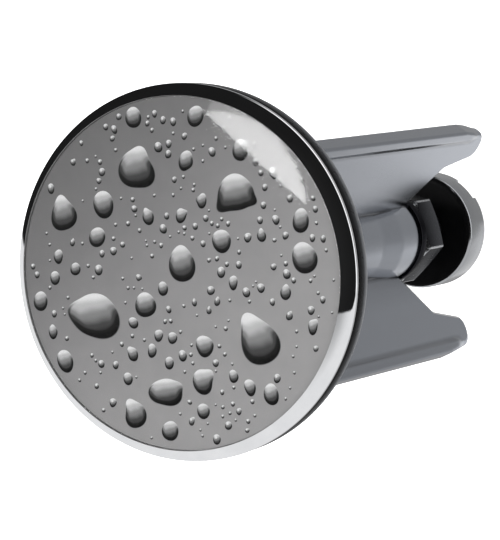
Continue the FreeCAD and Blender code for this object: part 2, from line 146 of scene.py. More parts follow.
class Tree:
    """Short names for building a material's nodes."""

    def __init__(self, name):
        self.material = bpy.data.materials.new(name)
        self.material.use_nodes = True
        self.tree = self.material.node_tree
        self.tree.nodes.clear()
        self.out = self.tree.nodes.new("ShaderNodeOutputMaterial")

    def add(self, kind, **settings):
        node = self.tree.nodes.new("ShaderNode" + kind)
        for key, value in settings.items():
            setattr(node, key, value)
        return node

    def link(self, a, b):
        self.tree.links.new(a, b)

    def put(self, socket, value):
        if hasattr(value, "is_output"):
            self.link(value, socket)
        else:
            socket.default_value = value

    def object_coords(self):
        return self.add("TexCoord").outputs["Object"]

    def noise(self, scale, detail=3.0, rough=0.5, coords=None, stretch=None):
        node = self.add("TexNoise")
        node.inputs["Scale"].default_value = scale
        node.inputs["Detail"].default_value = detail
        node.inputs["Roughness"].default_value = rough
        coords = coords or self.object_coords()
        if stretch:
            mapping = self.add("Mapping")
            mapping.inputs["Scale"].default_value = stretch
            self.link(coords, mapping.inputs["Vector"])
            coords = mapping.outputs["Vector"]
        self.link(coords, node.inputs["Vector"])
        return node.outputs["Fac"]

    def ranged(self, value, a, b, c, d, smooth=False):
        node = self.add("MapRange")
        if smooth:
            node.interpolation_type = "SMOOTHSTEP"
        self.put(node.inputs["Value"], value)
        for key, v in (("From Min", a), ("From Max", b), ("To Min", c), ("To Max", d)):
            node.inputs[key].default_value = v
        return node.outputs["Result"]

    def math(self, how, a, b=0.0, clamp=False):
        node = self.add("Math", operation=how, use_clamp=clamp)
        self.put(node.inputs[0], a)
        self.put(node.inputs[1], b)
        return node.outputs[0]

    def ramp(self, value, stops, mode="LINEAR"):
        node = self.add("ValToRGB")
        node.color_ramp.interpolation = mode
        marks = node.color_ramp.elements
        while len(marks) > 1:
            marks.remove(marks[-1])
        for i, (at, colour) in enumerate(stops):
            mark = marks[0] if i == 0 else marks.new(at)
            mark.position = at
            mark.color = colour
        self.put(node.inputs["Fac"], value)
        return node.outputs["Color"]

    def mix(self, factor, a, b):
        node = self.add("Mix", data_type="RGBA")
        self.put(node.inputs[0], factor)
        self.put(node.inputs[6], a)
        self.put(node.inputs[7], b)
        return node.outputs[2]

    def bump(self, height, strength, distance):
        node = self.add("Bump")
        node.inputs["Strength"].default_value = strength
        node.inputs["Distance"].default_value = distance
        self.link(height, node.inputs["Height"])
        return node.outputs["Normal"]

    def principled(self, **values):
        node = self.add("BsdfPrincipled")
        for key, value in values.items():
            self.put(node.inputs[key.replace("_", " ")], value)
        self.link(node.outputs["BSDF"], self.out.inputs["Surface"])
        return node


# ------------------------------------------------------------------- materials
def make_chrome():
    t = Tree("cap_chrome")
    cloud = t.noise(260.0, 4.0, 0.6)
    fine = t.noise(5200.0, 2.0, 0.5)
    rub = t.noise(900.0, 5.0, 0.65, stretch=(1.0, 1.0, 14.0))
    rough = t.math(
        "ADD",
        t.ranged(cloud, 0.35, 0.7, 0.02, 0.045),
        t.ranged(rub, 0.55, 0.8, 0.0, 0.03),
    )
    colour = t.mix(
        t.ranged(cloud, 0.3, 0.7, 0.0, 1.0),
        (0.80, 0.81, 0.83, 1.0),
        (0.88, 0.885, 0.90, 1.0),
    )
    t.principled(
        Base_Color=colour,
        Metallic=1.0,
        Roughness=rough,
        Normal=t.bump(fine, 0.02, 0.00002),
    )
    return t.material


def make_print_ground():
    t = Tree("print_ground")
    uv = t.add("UVMap", uv_map="print")
    split = t.add("SeparateXYZ")
    t.link(uv.outputs["UV"], split.inputs[0])
    # darker at the upper left, lighter at the lower right
    run = t.math(
        "SUBTRACT",
        t.math("MULTIPLY", split.outputs["X"], 0.6),
        t.math("MULTIPLY", split.outputs["Y"], 0.8),
    )
    base = t.ramp(
        t.ranged(run, -0.6, 0.6, 0.0, 1.0),
        [
            (0.04, grey(98, (1.0, 0.985, 0.99))),
            (0.25, grey(110, (1.0, 0.985, 0.99))),
            (0.5, grey(130, (1.0, 0.985, 0.99))),
            (0.67, grey(138, (1.0, 0.985, 0.985))),
            (0.92, grey(142, (1.0, 0.985, 0.985))),
        ],
    )
    cloud = t.noise(9.0, 3.0, 0.55, coords=uv.outputs["UV"])
    grain = t.noise(420.0, 2.0, 0.6, coords=uv.outputs["UV"])
    shade = t.math(
        "ADD",
        t.ranged(cloud, 0.3, 0.7, -0.03, 0.03),
        t.ranged(grain, 0.3, 0.7, -0.03, 0.03),
    )
    gain = t.add("HueSaturation")
    t.link(t.math("ADD", shade, 1.0), gain.inputs["Value"])
    t.link(base, gain.inputs["Color"])
    t.principled(
        Base_Color=gain.outputs["Color"],
        Roughness=t.ranged(grain, 0.3, 0.7, 0.5, 0.62),
        Specular_IOR_Level=0.1,
        Normal=t.bump(grain, 0.03, 0.00002),
    )
    return t.material


def make_print_drops():
    t = Tree("print_drops")
    local = t.add("UVMap", uv_map="drop")
    shape = t.add("UVMap", uv_map="rim")
    at = t.add("SeparateXYZ")
    t.link(local.outputs["UV"], at.inputs[0])
    rim = t.add("SeparateXYZ")
    t.link(shape.outputs["UV"], rim.inputs[0])
    lx, ly = at.outputs["X"], at.outputs["Y"]
    rho, kind = rim.outputs["X"], rim.outputs["Y"]
    lean = t.math("ADD", ly, t.math("MULTIPLY", lx, -0.2))
    # the sides and the foot of a drop turn away from the light
    side = t.ranged(rho, 0.55, 0.97, 0.0, 1.0, smooth=True)
    foot = t.ranged(ly, -0.1, 0.75, 1.0, 0.0, smooth=True)
    turned_away = t.math("MULTIPLY", t.math("MULTIPLY", side, foot), 0.66)
    height = t.math("SUBTRACT", lean, turned_away)
    soft = t.noise(1.1, 1.0, 0.4, coords=local.outputs["UV"])
    height = t.math("ADD", height, t.ranged(soft, 0.3, 0.7, -0.06, 0.06))
    tone = t.ramp(
        t.ranged(height, -1.3, 1.0, 0.0, 1.0),
        [
            (0.0, grey(8)),
            (0.22, grey(19)),
            (0.4, grey(58)),
            (0.58, grey(118)),
            (0.78, grey(168)),
            (0.95, grey(206)),
        ],
        "EASE",
    )
    # a dark line inside the left edge, strongest halfway down
    left = t.math(
        "MULTIPLY",
        t.ranged(lx, -0.25, -0.75, 0.0, 1.0, smooth=True),
        t.ranged(rho, 0.86, 0.95, 0.0, 1.0, smooth=True),
    )
    left = t.math("MULTIPLY", left, t.ranged(ly, 0.75, 0.2, 0.0, 0.9, smooth=True))
    tone = t.mix(left, tone, grey(30))
    # a small bright glint near the top, mostly on small drops
    dx = t.math("ADD", lx, 0.22)
    dy = t.math("SUBTRACT", ly, 0.42)
    far = t.math("ADD", t.math("MULTIPLY", dx, dx), t.math("MULTIPLY", dy, dy))
    glint = t.math("MULTIPLY", t.ranged(far, 0.0, 0.16, 1.0, 0.0, smooth=True), kind)
    tone = t.mix(glint, tone, grey(238))
    # the light line around the foot of a drop
    line = t.math(
        "MULTIPLY",
        t.ranged(rho, 0.955, 0.985, 0.0, 1.0, smooth=True),
        t.ranged(ly, -0.95, 0.8, 0.28, 0.2),
    )
    tone = t.mix(line, tone, grey(178))
    grain = t.noise(420.0, 2.0, 0.6, coords=t.add("UVMap", uv_map="print").outputs["UV"])
    gain = t.add("HueSaturation")
    t.link(t.ranged(grain, 0.3, 0.7, 0.97, 1.03), gain.inputs["Value"])
    t.link(tone, gain.inputs["Color"])
    t.principled(
        Base_Color=gain.outputs["Color"],
        Roughness=t.ranged(grain, 0.3, 0.7, 0.5, 0.62),
        Specular_IOR_Level=0.1,
        Normal=t.bump(grain, 0.03, 0.00002),
    )
    return t.material


def make_resin():
    t = Tree("clear_resin")
    ripple = t.noise(110.0, 2.0, 0.5)
    speck = t.noise(2600.0, 2.0, 0.5)
    normal = t.bump(ripple, 0.04, 0.00005)
    fresnel = t.add("Fresnel")
    fresnel.inputs["IOR"].default_value = 1.5
    t.link(normal, fresnel.inputs["Normal"])
    gloss = t.add("BsdfGlossy")
    gloss.inputs["Color"].default_value = (1.0, 1.0, 1.0, 1.0)
    t.link(t.ranged(speck, 0.35, 0.75, 0.015, 0.06), gloss.inputs["Roughness"])
    t.link(normal, gloss.inputs["Normal"])
    clear = t.add("BsdfTransparent")
    clear.inputs["Color"].default_value = (0.985, 0.988, 0.99, 1.0)
    mix = t.add("MixShader")
    t.link(fresnel.outputs["Fac"], mix.inputs["Fac"])
    t.link(clear.outputs["BSDF"], mix.inputs[1])
    t.link(gloss.outputs["BSDF"], mix.inputs[2])
    t.link(mix.outputs["Shader"], t.out.inputs["Surface"])
    return t.material


def make_resin_foot():
    t = Tree("clear_resin_foot")
    clear = t.add("BsdfTransparent")
    haze = t.noise(700.0, 3.0, 0.5)
    tint = t.mix(
        t.ranged(haze, 0.3, 0.7, 0.0, 1.0),
        (0.97, 0.972, 0.975, 1.0),
        (1.0, 1.0, 1.0, 1.0),
    )
    t.link(tint, clear.inputs["Color"])
    t.link(clear.outputs["BSDF"], t.out.inputs["Surface"])
    return t.material


def make_rubber():
    t = Tree("seal_rubber")
    cloud = t.noise(700.0, 4.0, 0.6)
    grain = t.noise(7000.0, 3.0, 0.6)
    # black rubber, with a painted sheen that makes it paler towards the lip and a little cloudy tone
    split = t.add("SeparateXYZ")
    t.link(t.object_coords(), split.inputs[0])
    lip_sheen = t.ranged(split.outputs["Z"], 0.0024, 0.0006, 0.0, 0.9, True)
    lip_sheen = t.math("ADD", lip_sheen, t.ranged(cloud, 0.3, 0.7, 0.0, 0.1))
    colour = t.ramp(
        lip_sheen,
        [
            (0.0, (0.003, 0.003, 0.0035, 1)),
            (0.45, (0.022, 0.023, 0.025, 1)),
            (1.0, (0.15, 0.155, 0.165, 1)),
        ],
    )
    t.principled(
        Base_Color=colour,
        Roughness=t.ranged(cloud, 0.3, 0.7, 0.24, 0.34),
        Specular_IOR_Level=0.06,
        Normal=t.bump(grain, 0.12, 0.00003),
    )
    return t.material


def make_metal(
    name, dark, light, rough, grain_scale, streak=None, metallic=1.0, bump=0.015, grazing=1.0,
    along=None, painted_hollow_shade=False,
):
    """A plated or machined finish: cloudy tone, fine grain, optional streaks, an optional painted-light
    fade along the height and optional painted shade in the hollows.
    """
    t = Tree(name)
    cloud = t.noise(240.0, 4.0, 0.55)
    grain = t.noise(grain_scale, 3.0, 0.6)
    shade = t.ranged(cloud, 0.3, 0.7, 0.0, 1.0)
    # painted light: the tone runs from dark at the first height in along to light at the second
    if along:
        split = t.add("SeparateXYZ")
        t.link(t.object_coords(), split.inputs[0])
        fade = t.ranged(split.outputs["Z"], along[0], along[1], 0.0, 0.85)
        shade = t.math("ADD", fade, t.math("MULTIPLY", shade, 0.15))
    tone = t.mix(shade, dark, light)
    if painted_hollow_shade:
        # painted shade in the corner at the stem and along the foot of the bead
        x, y, z = (split.outputs[k] for k in "XYZ")
        out = t.math("SQRT", t.math("ADD", t.math("MULTIPLY", x, x), t.math("MULTIPLY", y, y)))
        out = t.math("MULTIPLY", out, 1 / 0.016)
        corner = t.ramp(
            out,
            [
                (r / 16.0, (v, v, v, 1.0))
                for r, v in ((4.8, 0.26), (5.05, 0.36), (5.5, 0.74), (6.5, 0.86), (9.0, 1.0))
            ],
        )
        line = t.ramp(
            out,
            [
                (r / 16.0, (v, v, v, 1.0))
                for r, v in (
                    (13.5, 0.0), (14.0, 0.38), (14.3, 0.38), (14.6, 0.12), (15.3, 0.16)
                )
            ],
        )
        line = t.math("MULTIPLY", line, t.ranged(z, -0.0552, -0.0530, 0.0, 1.0))
        kept = t.math("MULTIPLY", corner, t.math("SUBTRACT", 1.0, line))
        tone = t.mix(kept, (0.012, 0.012, 0.014, 1.0), tone)
    spread = t.ranged(grain, 0.3, 0.72, rough[0], rough[1])
    height = grain
    if streak:
        lines = t.noise(grain_scale * 0.5, 2.0, 0.5, stretch=streak)
        height = t.math("ADD", t.math("MULTIPLY", grain, 0.4), lines)
        spread = t.math("ADD", spread, t.ranged(lines, 0.45, 0.8, 0.0, 0.06))
    t.principled(
        Base_Color=tone,
        Metallic=metallic,
        Roughness=spread,
        Specular_Tint=(grazing, grazing, grazing, 1.0),
        Normal=t.bump(height, bump, 0.00003),
    )
    return t.material


def make_foot_face_black():
    """The near-black upper face of the foot."""
    t = Tree("foot_face_black")
    cloud = t.noise(500.0, 4.0, 0.6)
    grain = t.noise(6000.0, 2.0, 0.5)
    t.principled(
        Base_Color=t.mix(
            t.ranged(cloud, 0.3, 0.7, 0.0, 1.0),
            (0.0022, 0.0022, 0.0024, 1.0),
            (0.0040, 0.0040, 0.0044, 1.0),
        ),
        Roughness=t.ranged(grain, 0.3, 0.7, 0.42, 0.55),
        Specular_IOR_Level=0.06,
        Normal=t.bump(grain, 0.02, 0.00002),
    )
    return t.material


chrome = make_chrome()
print_ground = make_print_ground()
print_drops = make_print_drops()
resin = make_resin()
resin_foot = make_resin_foot()
rubber = make_rubber()
# satin plating, painted darker near the cap and lighter towards the wing tips
satin = make_metal(
    "satin_plating", (0.394, 0.416, 0.460, 1), (0.438, 0.462, 0.512, 1), (0.17, 0.25), 5200.0,
    along=(-0.008, -0.057),
)
# the same plating and painted fade, with painted shade in the wings' corners at the stem and along the
# bead's foot
satin_wing_painted_shade = make_metal(
    "satin_wing_painted_shade", (0.394, 0.416, 0.460, 1), (0.438, 0.462, 0.512, 1), (0.17, 0.25), 5200.0,
    along=(-0.008, -0.057), painted_hollow_shade=True,
)
# a brighter copy of the plating for the wings' inner end faces: painted highlight
wing_end_highlight = make_metal(
    "wing_end_highlight", (0.93, 0.94, 0.955, 1), (0.96, 0.965, 0.975, 1), (0.2, 0.28), 5200.0
)
foot_satin = make_metal(
    "foot_plating", (0.40, 0.41, 0.43, 1), (0.46, 0.47, 0.485, 1), (0.17, 0.25), 5200.0,
    bump=0.006,
)
zinc = make_metal(
    "bright_zinc", (0.52, 0.53, 0.55, 1), (0.62, 0.63, 0.65, 1), (0.22, 0.36), 4200.0,
    streak=(1.0, 1.0, 6.0),
)
# dark nut metal, painted lighter towards the nut's lower end
nut_black = make_metal(
    "nut_black", (0.010, 0.010, 0.013, 1), (0.19, 0.195, 0.21, 1), (0.16, 0.26), 4200.0,
    streak=(1.0, 1.0, 5.0), bump=0.012, grazing=0.5, along=(-0.0482, -0.0529),
)
# a brighter copy of the nut's metal for its corners and chamfers: painted highlight
nut_edge_highlight = make_metal(
    "nut_edge_highlight", (0.42, 0.43, 0.45, 1), (0.52, 0.53, 0.55, 1), (0.2, 0.32), 4200.0
)
dark_zinc = make_metal(
    "dark_zinc", (0.22, 0.225, 0.235, 1), (0.32, 0.325, 0.335, 1), (0.24, 0.38), 5200.0
)
foot_face_black = make_foot_face_black()
inked_wall = make_metal(
    "inked_wall", grey(118), grey(130), (0.5, 0.6), 5200.0, metallic=0.0, bump=0.01, grazing=0.2
)
brass = make_metal(
    "turned_brass", (0.62, 0.44, 0.17, 1), (0.74, 0.55, 0.24, 1), (0.2, 0.34), 4200.0,
    streak=(1.0, 1.0, 9.0),
)

# ------------------------------------------------------------------------- cap
cap = lathe(
    "chrome_cap",
    soften(
        [
            (0.0, 4.38), (18.72, 4.38), (18.72, 4.87), (18.75, 4.88), (19.076, 4.578),
            (19.393, 4.268), (19.701, 3.948), (20.0, 3.62), (20.0, 3.1), (13.0, 3.1),
            (13.0, 3.75), (3.0, 3.75), (3.0, -7.9),
            (1.5, -7.9), (1.5, 1.2), (0.0, 1.2),
        ],
        {7: 0.66, 8: 0.1, 9: 0.12, 10: 0.25, 11: 0.5, 12: 0.3, 13: 0.2},
    ),
    turns=360,
    closed=False,
)
stand_for(cap, "cap_shell", "stopper", chrome)
# the wall of the recess carries the print's ink
cap.data.materials.append(inked_wall)
for face in cap.data.polygons:
    reach = math.hypot(face.center.x, face.center.y) / MM
    if 18.6 < reach < 18.76 and face.center.z > 4.4 * MM:
        face.material_index = 1

# ------------------------------------------------------------------------ dome
SPHERE = (18.66 ** 2 + 0.7 ** 2) / (2 * 0.7)


def dome_level(r):
    return 5.5 - (SPHERE - math.sqrt(SPHERE * SPHERE - r * r))


DOME_FLAT = 18.635
dome_rings = [18.61 * k / 40 for k in range(41)] + [DOME_FLAT]
dome_top = [(r, dome_level(r)) for r in dome_rings]
edge_low = dome_level(DOME_FLAT)
dome_edge = [
    (DOME_FLAT + 0.025 * math.sin(a), edge_low - 0.025 + 0.025 * math.cos(a))
    for a in [math.pi / 2 * k / 6 for k in range(1, 7)]
]
dome = lathe(
    "resin_dome",
    dome_top + dome_edge + [(18.66, 4.59), (18.52, 4.581), (0.0, 4.581)],
    turns=360,
    closed=False,
    smooth=50.0,
)
stand_for(dome, "clear_dome", "stopper", resin)
dome.data.materials.append(resin_foot)
for face in dome.data.polygons:
    if face.normal.z < 0.05:
        face.material_index = 1
dome.visible_shadow = False

# ----------------------------------------------------------------------- print
# A sheet of water drops, laid out here from a seeded list: a few large ones listed one by one,
# the others scattered around them without touching.
RIGHT = Vector((0.591, -0.807)).normalized()
UP = Vector((0.807, 0.591)).normalized()
PRINT_R, PRINT_TOP, PRINT_LOW = 18.66, 4.578, 4.381
rng = random.Random(4117)


def wobble(theta, waves):
    return sum(a * math.cos(n * theta + p) for n, a, p in waves)


def make_drop(x, y, r, tall, lean, waves, tails, count, kind):
    """A drop's outline around (x, y), in millimetres on the print."""
    points = []
    for k in range(count):
        th = 2 * math.pi * k / count
        reach = r * (1.0 + wobble(th, waves))
        for direction, length, width in tails:
            gap = math.atan2(math.sin(th - direction), math.cos(th - direction))
            reach += r * length * math.exp(-((gap / width) ** 2))
        px, py = reach * math.cos(th), reach * math.sin(th) * tall
        points.append((x + px + py * lean, y + py))
    return {"x": x, "y": y, "points": points, "kind": kind,
            "size": max(math.hypot(a - x, b - y) for a, b in points)}


drops = []
UPWARD = math.pi / 2
big = [
    # x, y, radius, height, lean, waves, tails
    (6.9, 8.4, 2.05, 1.0, 0.10, [(2, 0.05, 0.4), (3, 0.05, 1.0)], [(3.9, 0.30, 0.34), (5.9, 0.26, 0.24)]),
    (-10.2, -4.6, 2.75, 0.92, 0.0, [(2, 0.07, 0.9), (3, 0.04, 2.2)], [(2.9, 0.24, 0.4)]),
    (9.1, -7.2, 2.35, 1.0, 0.0, [(2, 0.05, 2.0), (3, 0.05, 0.3)], [(UPWARD + 0.5, 0.38, 0.36)]),
    (-4.7, 10.9, 2.1, 1.0, -0.1, [(3, 0.06, 1.6), (2, 0.05, 0.2)], [(UPWARD - 0.4, 0.32, 0.4)]),
    (0.3, 0.9, 1.55, 1.22, 0.0, [(2, 0.03, 0.5), (3, 0.03, 1.2)], [(UPWARD, 0.12, 0.5)]),
    (-2.2, -12.6, 1.85, 0.86, 0.0, [(2, 0.10, 0.2), (3, 0.05, 2.5)], [(0.5, 0.2, 0.35)]),
    (14.6, 1.6, 1.45, 1.15, 0.0, [(2, 0.04, 1.2), (3, 0.03, 0.4)], []),
    (-13.7, 6.2, 1.6, 1.05, 0.05, [(3, 0.06, 0.7)], [(UPWARD + 0.2, 0.3, 0.35)]),
]
for x, y, r, tall, lean, waves, tails in big:
    drops.append(make_drop(x, y, r, tall, lean, waves, tails, 96, 0.0))


def scatter(number, low, high, tall, tail_chance, count, kind, gap):
    tries = 0
    made = 0
    while made < number and tries < 20000:
        tries += 1
        reach = 18.0 * math.sqrt(rng.random())
        turn = 2 * math.pi * rng.random()
        x, y = reach * math.cos(turn), reach * math.sin(turn)
        r = low + (high - low) * rng.random() ** 1.7
        waves = [
            (2, rng.uniform(0.0, 0.07), rng.uniform(0, 6.3)),
            (3, rng.uniform(0.0, 0.05), rng.uniform(0, 6.3)),
        ]
        tails = []
        if rng.random() < tail_chance:
            tails = [(rng.gauss(UPWARD, 0.75), rng.uniform(0.2, 0.5), rng.uniform(0.3, 0.5))]
        drop = make_drop(
            x, y, r, rng.uniform(*tall), rng.gauss(0, 0.07), waves, tails, count, kind
        )
        if math.hypot(x, y) + drop["size"] > PRINT_R - 0.25:
            continue
        if any(
            math.hypot(x - d["x"], y - d["y"]) < drop["size"] + d["size"] + gap
            for d in drops
        ):
            continue
        drops.append(drop)
        made += 1


scatter(12, 0.95, 1.3, (1.05, 1.35), 0.45, 64, 0.0, 0.25)
scatter(26, 0.55, 0.9, (1.05, 1.4), 0.3, 48, 0.12, 0.2)
scatter(70, 0.3, 0.5, (1.05, 1.35), 0.1, 32, 0.5, 0.14)
scatter(150, 0.14, 0.28, (1.0, 1.25), 0.0, 20, 0.8, 0.1)


def row(x, y, z):
    p = RIGHT * x + UP * y
    return (p.x, p.y, z)


RINGS = (0.34, 0.6, 0.78, 0.88, 0.94, 0.975, 1.0)
bm = bmesh.new()
uv_print = bm.loops.layers.uv.new("print")
uv_drop = bm.loops.layers.uv.new("drop")
uv_rim = bm.loops.layers.uv.new("rim")
notes = {}


def print_vertex(x, y, lx=0.0, ly=0.0, rho=0.0, kind=0.0, z=PRINT_TOP):
    v = bm.verts.new(row(x, y, z))
    notes[v] = (x / (2 * PRINT_R), y / (2 * PRINT_R), lx, ly, rho, kind)
    return v


def print_face(verts, material):
    face = bm.faces.new(verts)
    face.material_index = material
    for loop in face.loops:
        a, b, c, d, e, f = notes[loop.vert]
        loop[uv_print].uv = (a, b)
        loop[uv_drop].uv = (c, d)
        loop[uv_rim].uv = (e, f)
    return face


ROUND = 256
flat, edges = [], []
for k in range(ROUND):
    a = 2 * math.pi * k / ROUND
    flat.append(Vector((PRINT_R * math.cos(a), PRINT_R * math.sin(a))))
    edges.append((k, (k + 1) % ROUND))
for d in drops:
    first = len(flat)
    n = len(d["points"])
    flat.extend(Vector(p) for p in d["points"])
    edges.extend((first + k, first + (k + 1) % n) for k in range(n))
owner = [-1] * ROUND
for i, d in enumerate(drops):
    owner += [i] * len(d["points"])
cdt_verts, cdt_edges, cdt_faces, from_verts, from_edges, from_faces = delaunay_2d_cdt(
    flat, edges, [], 0, 1e-7
)
ground = []
for i, p in enumerate(cdt_verts):
    v = print_vertex(p.x, p.y)
    ground.append(v)
for tri in cdt_faces:
    whose = set()
    for i in tri:
        origin_ids = from_verts[i]
        whose.add(owner[origin_ids[0]] if origin_ids else -2)
    if len(whose) == 1 and min(whose) >= 0:
        # all three corners on one drop: inside it unless it bridges a hollow
        d = drops[whose.pop()]
        c = sum((cdt_verts[i] for i in tri), Vector((0, 0))) / 3
        inside = False
        pts = d["points"]
        j = len(pts) - 1
        for i in range(len(pts)):
            (x1, y1), (x2, y2) = pts[i], pts[j]
            if (y1 > c.y) != (y2 > c.y) and c.x < (x2 - x1) * (c.y - y1) / (y2 - y1) + x1:
                inside = not inside
            j = i
        if inside:
            continue
    print_face([ground[i] for i in tri], 0)
for d in drops:
    pts = d["points"]
    xs, ys = [p[0] for p in pts], [p[1] for p in pts]
    mx, my = (min(xs) + max(xs)) / 2, (min(ys) + max(ys)) / 2
    hx, hy = (max(xs) - min(xs)) / 2, (max(ys) - min(ys)) / 2

    def at(x, y, rho):
        return print_vertex(x, y, (x - mx) / hx, (y - my) / hy, rho, d["kind"])

    middle = at(d["x"], d["y"], 0.0)
    last = None
    for rho in RINGS:
        ring = [
            at(d["x"] + (px - d["x"]) * rho, d["y"] + (py - d["y"]) * rho, rho)
            for px, py in pts
        ]
        n = len(ring)
        for k in range(n):
            m = (k + 1) % n
            if last is None:
                print_face((middle, ring[k], ring[m]), 1)
            else:
                print_face((last[k], ring[k], ring[m], last[m]), 1)
        last = ring
bmesh.ops.remove_doubles(bm, verts=bm.verts, dist=1e-5)
notes.clear()
rim = [e for e in bm.edges if e.is_boundary]
low = {}
for e in rim:
    for v in e.verts:
        if v not in low:
            low[v] = bm.verts.new((v.co.x, v.co.y, PRINT_LOW))
for e in rim:
    a, b = e.verts
    face = bm.faces.new((a, b, low[b], low[a]))
    for loop in face.loops:
        loop[uv_print].uv = (0.35, -0.35)
bottom = sorted(low.values(), key=lambda v: math.atan2(v.co.y, v.co.x))
face = bm.faces.new(bottom)
for loop in face.loops:
    loop[uv_print].uv = (0.35, -0.35)
bmesh.ops.recalc_face_normals(bm, faces=bm.faces)
sheet = new_object("drop_print", bm, 40.0)
stand_for(sheet, "decor_disc", "stopper", print_ground)
sheet.data.materials.append(print_drops)

# ------------------------------------------------------------------------ seal
seal = lathe(
    "rubber_seal",
    soften(
        [(12.2, 0.4), (17.0, 0.4), (17.0, 0.0), (19.92, 0.0), (19.92, 3.1), (12.2, 3.1)],
        {0: 0.1, 1: 0.12, 2: 0.12, 3: 1.0, 4: 1.0, 5: 0.1},
        12,
    ),
    turns=300,
)
stand_for(seal, "seal_ring", "stopper", rubber)

# ---------------------------------------------------------------- height screw
PITCH = 1.0


def threaded_rod(name, low_z, high_z, major, minor, end_r, around=64, steps=14):
    """A right-hand thread as one skin that follows its helix, with run-outs at
    both ends and flat, chamfered end faces."""
    bm = bmesh.new()

    def depth(u):
        # one pitch of the flank: crest, slope, root, slope
        u = u % 1.0
        if u < 0.14:
            return 1.0
        if u < 0.44:
            return 1.0 - (u - 0.14) / 0.30
        if u < 0.70:
            return 0.0
        return (u - 0.70) / 0.30

    marks = [0.0, 0.07, 0.14, 0.19, 0.29, 0.39, 0.44, 0.50, 0.57, 0.64, 0.70, 0.75, 0.85, 0.95]
    first = math.floor(low_z / PITCH) - 2
    last = math.ceil(high_z / PITCH) + 1
    runs = [n + m for n in range(first, last) for m in marks]
    columns = []
    for k in range(around):
        th = 2 * math.pi * k / around
        column = []
        for u in runs:
            z = (u + k / around) * PITCH
            soft = depth(u)
            soft = soft * soft * (3 - 2 * soft) * 0.35 + soft * 0.65
            r = minor + (major - minor) * soft
            near = min(z - low_z, high_z - z)
            ease = max(0.0, min(1.0, near / 0.55))
            r = min(r, end_r + (major - end_r) * ease)
            z = max(low_z, min(high_z, z))
            if ease == 0.0:
                r = end_r
            column.append(bm.verts.new((r * math.cos(th), r * math.sin(th), z)))
        columns.append(column)
    rows = len(runs)
    per = len(marks)
    for k in range(around):
        a = columns[k]
        b = columns[(k + 1) % around]
        shift = per if k == around - 1 else 0
        for j in range(rows - 1):
            # the last column meets the first one a pitch further along
            i0, i1 = j + shift, j + 1 + shift
            if i1 < rows:
                bm.faces.new((a[j], b[i0], b[i1], a[j + 1]))
    bmesh.ops.remove_doubles(bm, verts=bm.verts, dist=1e-4)
    bmesh.ops.dissolve_degenerate(bm, edges=bm.edges, dist=1e-5)
    loose = [v for v in bm.verts if not v.link_faces]
    bmesh.ops.delete(bm, geom=loose, context="VERTS")
    for z in (low_z, high_z):
        ring = [
            v for v in bm.verts
            if abs(v.co.z - z) < 1e-6 and abs(math.hypot(v.co.x, v.co.y) - end_r) < 1e-4
        ]
        ring.sort(key=lambda v: math.atan2(v.co.y, v.co.x))
        inner = [
            bm.verts.new((v.co.x * 0.9, v.co.y * 0.9, z)) for v in ring
        ]
        middle = bm.verts.new((0, 0, z))
        n = len(ring)
        for k in range(n):
            m = (k + 1) % n
            bm.faces.new((ring[k], ring[m], inner[m], inner[k]))
            bm.faces.new((inner[k], inner[m], middle))
    bmesh.ops.recalc_face_normals(bm, faces=bm.faces)
    return new_object(name, bm, 40.0)


stud = threaded_rod("threaded_stud", -60.2, -33.0, 2.98, 2.4, 2.35)
stand_for(stud, "screw_stud", "foot", dark_zinc)

# ------------------------------------------------------------- nut and washer
washer = lathe(
    "plain_washer",
    soften(
        [(3.2, -46.25), (5.5, -46.25), (5.5, -47.85), (3.2, -47.85)],
        {0: 0.15, 1: 0.22, 2: 0.3, 3: 0.15},
        6,
    ),
    turns=144,
)
stand_for(washer, "lock_washer", "washer", nut_black)


def hexagon_outline(flats, turned, corner, per_flat=10, per_corner=8):
    """The nut's outline with its corners rounded."""
    out = []
    half = flats / 2
    inner = half - corner
    for k in range(6):
        normal = math.radians(turned + 60 * k)
        side = Vector((math.cos(normal), math.sin(normal)))
        along = Vector((-side.y, side.x))
        reach = inner * math.tan(math.radians(30))
        for i in range(per_flat):
            s = -1 + 2 * i / (per_flat - 1)
            out.append(side * half + along * reach * s)
        centre = side * inner + along * reach
        for i in range(1, per_corner):
            a = normal + math.radians(60) * i / per_corner
            out.append(centre + Vector((math.cos(a), math.sin(a))) * corner)
    return out


def hexagon_nut(name, top, low, flats, turned, bore):
    bm = bmesh.new()
    slope = math.tan(math.radians(30))
    crown = 4.75
    columns = []
    for p in hexagon_outline(flats, turned, 0.28):
        R = p.length
        u = p / R
        cut = max(0.0, R - crown) * slope
        face_r = min(crown, R - 0.06)
        loop = [
            (bore, low + 0.5), (bore + 0.02, low + 0.42), (bore + 0.4, low + 0.03),
            (bore + 0.5, low), (face_r - 0.12, low), (face_r, low + 0.012),
            (R - 0.03, low + cut + 0.02), (R, low + cut + 0.07),
            (R, (low + top) / 2),
            (R, top - cut - 0.07), (R - 0.03, top - cut - 0.02), (face_r, top - 0.012),
            (face_r - 0.12, top), (bore + 0.5, top), (bore + 0.4, top - 0.03),
            (bore + 0.02, top - 0.42), (bore, top - 0.5),
        ]
        columns.append([bm.verts.new((u.x * r, u.y * r, z)) for r, z in loop])
    n = len(columns)
    for k in range(n):
        a, b = columns[k], columns[(k + 1) % n]
        for j in range(len(a)):
            i = (j + 1) % len(a)
            bm.faces.new((a[j], b[j], b[i], a[i]))
    bmesh.ops.recalc_face_normals(bm, faces=bm.faces)
    return new_object(name, bm, 30.0)


